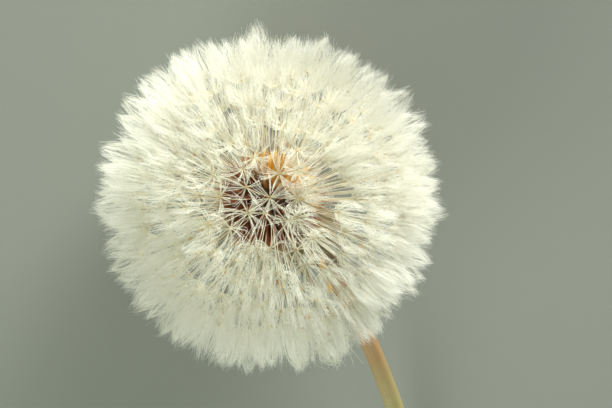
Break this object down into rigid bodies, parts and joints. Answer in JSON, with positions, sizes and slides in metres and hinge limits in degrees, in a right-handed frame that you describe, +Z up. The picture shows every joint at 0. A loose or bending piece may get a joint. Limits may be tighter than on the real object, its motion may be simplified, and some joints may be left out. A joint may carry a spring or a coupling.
{
  "type": "dandelion seed head",
  "caption": "Ripe dandelion seed ball: pappus-tipped seeds round a small domed receptacle, bent-back bracts and a hollow cut stem, laid down as picked.",
  "frame": {"origin": "on the surface it lies on, at the middle of the footprint of the ball and stem", "axes": "+Z up from the surface; +X from the ball of seeds towards the cut end of the stem, which swings to -Y; the crown of the ball looks towards -X and up"},
  "size_m": [0.091, 0.0492, 0.0403],
  "materials": {
    "silk": "cream-white silky pappus hairs on pale tan beaks and orange-brown achenes",
    "pith": "dry pale tan pith, pitted where seeds sat",
    "husk": "dry olive-brown bract, matte with fine veins and a papery margin",
    "stalk": "waxy ribbed stem, tan-orange at the head turning olive-green at the cut end"
  },
  "bodies": {
    "root": {"stem": "stalk", "receptacle": "pith", "inner_bract_01": "husk", "inner_bract_02": "husk", "inner_bract_03": "husk", "inner_bract_04": "husk", "inner_bract_05": "husk", "inner_bract_06": "husk", "inner_bract_07": "husk", "inner_bract_08": "husk", "inner_bract_09": "husk", "inner_bract_10": "husk", "inner_bract_11": "husk", "inner_bract_12": "husk", "inner_bract_13": "husk", "outer_bract_01": "husk", "outer_bract_02": "husk", "outer_bract_03": "husk", "outer_bract_04": "husk", "outer_bract_05": "husk", "outer_bract_06": "husk", "outer_bract_07": "husk", "outer_bract_08": "husk", "seed_01": "silk", "seed_02": "silk", "seed_03": "silk", "seed_04": "silk", "seed_05": "silk", "seed_06": "silk", "seed_07": "silk", "seed_08": "silk", "seed_09": "silk", "seed_10": "silk", "seed_11": "silk", "seed_12": "silk", "seed_13": "silk", "seed_14": "silk", "seed_15": "silk", "seed_16": "silk", "seed_17": "silk", "seed_18": "silk", "seed_19": "silk", "seed_20": "silk", "seed_21": "silk", "seed_22": "silk", "seed_23": "silk", "seed_24": "silk", "seed_25": "silk", "seed_26": "silk", "seed_27": "silk", "seed_28": "silk", "seed_29": "silk", "seed_30": "silk", "seed_31": "silk", "seed_32": "silk", "seed_33": "silk", "seed_34": "silk", "seed_35": "silk", "seed_36": "silk", "seed_37": "silk"}
  },
  "joints": []
}
